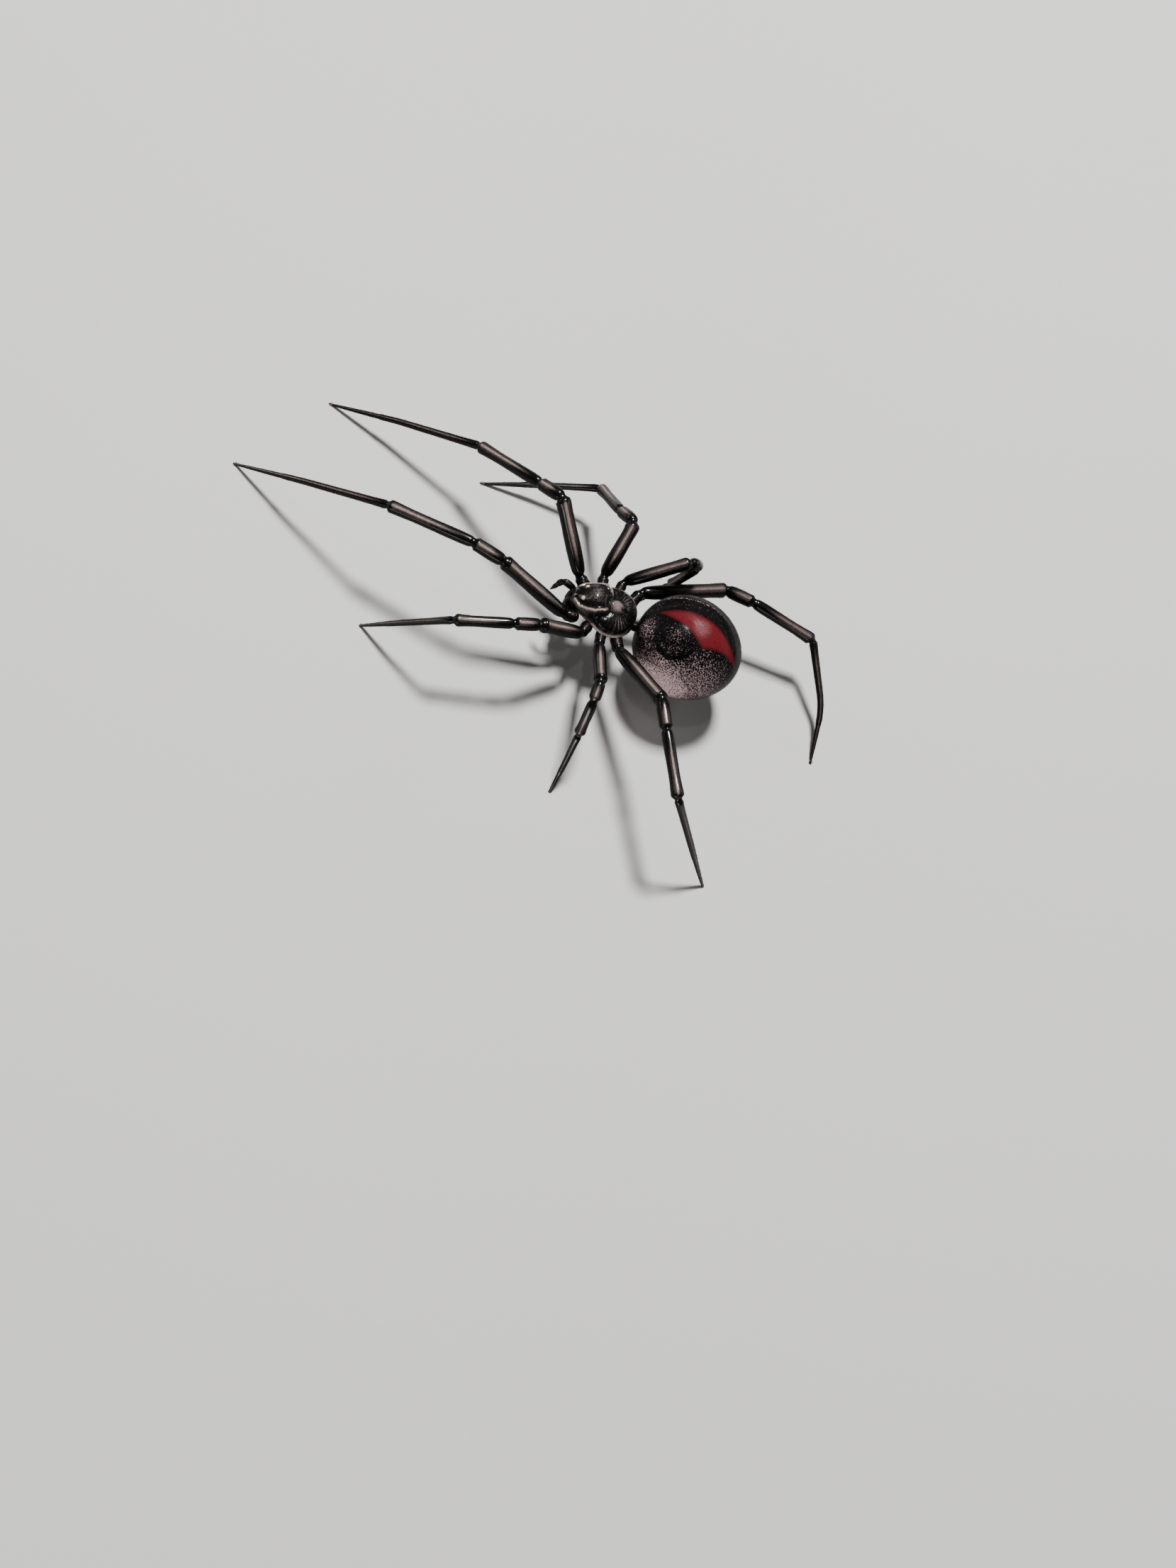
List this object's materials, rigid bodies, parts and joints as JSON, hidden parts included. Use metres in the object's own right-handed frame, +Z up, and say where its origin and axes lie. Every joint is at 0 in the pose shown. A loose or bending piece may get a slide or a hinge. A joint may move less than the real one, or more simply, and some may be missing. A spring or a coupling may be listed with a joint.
{
  "type": "black widow spider",
  "caption": "A still, life-size adult female black widow spider: glossy black body, round abdomen with a red marking, long thin legs spread on the floor.",
  "frame": {"origin": "middle of the footprint's bounding box, on the floor below the spider", "axes": "+Z up; the spider faces -Y, its left side is at +X"},
  "size_m": [0.0254, 0.0462, 0.0085],
  "materials": {
    "body_shell": "glossy black shell with fine grooves and pale worn rims",
    "leg_shell": "glossy black, brownish where the light grazes it, with fine short hairs",
    "abdomen_skin": "glossy black skin with a red marking on the back and a red hourglass below",
    "fang": "dark reddish brown, polished",
    "eye": "clear domed lens over a dark ground, with a pale glow"
  },
  "bodies": {
    "root": {"abdomen": "abdomen_skin", "cephalothorax": "body_shell", "chelicera_left": "body_shell", "chelicera_right": "body_shell", "eye_left_front_lateral": "eye", "eye_left_front_median": "eye", "eye_left_rear_lateral": "eye", "eye_left_rear_median": "eye", "eye_right_front_lateral": "eye", "eye_right_front_median": "eye", "eye_right_rear_lateral": "eye", "eye_right_rear_median": "eye", "fang_left": "fang", "fang_right": "fang", "leg_left_1_coxa": "leg_shell", "leg_left_1_femur": "leg_shell", "leg_left_1_foot": "leg_shell", "leg_left_1_patella": "leg_shell", "leg_left_1_tibia": "leg_shell", "leg_left_2_coxa": "leg_shell", "leg_left_2_femur": "leg_shell", "leg_left_2_foot": "leg_shell", "leg_left_2_patella": "leg_shell", "leg_left_2_tibia": "leg_shell", "leg_left_3_coxa": "leg_shell", "leg_left_3_femur": "leg_shell", "leg_left_3_foot": "leg_shell", "leg_left_3_patella": "leg_shell", "leg_left_3_tibia": "leg_shell", "leg_left_4_coxa": "leg_shell", "leg_left_4_femur": "leg_shell", "leg_left_4_foot": "leg_shell", "leg_left_4_patella": "leg_shell", "leg_left_4_tibia": "leg_shell", "leg_right_1_coxa": "leg_shell", "leg_right_1_femur": "leg_shell", "leg_right_1_foot": "leg_shell", "leg_right_1_patella": "leg_shell", "leg_right_1_tibia": "leg_shell", "leg_right_2_coxa": "leg_shell", "leg_right_2_femur": "leg_shell", "leg_right_2_foot": "leg_shell", "leg_right_2_patella": "leg_shell", "leg_right_2_tibia": "leg_shell", "leg_right_3_coxa": "leg_shell", "leg_right_3_femur": "leg_shell", "leg_right_3_foot": "leg_shell", "leg_right_3_patella": "leg_shell", "leg_right_3_tibia": "leg_shell", "leg_right_4_coxa": "leg_shell", "leg_right_4_femur": "leg_shell", "leg_right_4_foot": "leg_shell", "leg_right_4_patella": "leg_shell", "leg_right_4_tibia": "leg_shell", "pedicel": "body_shell", "pedipalp_left": "leg_shell", "pedipalp_right": "leg_shell", "spinnerets": "abdomen_skin"}
  },
  "joints": []
}
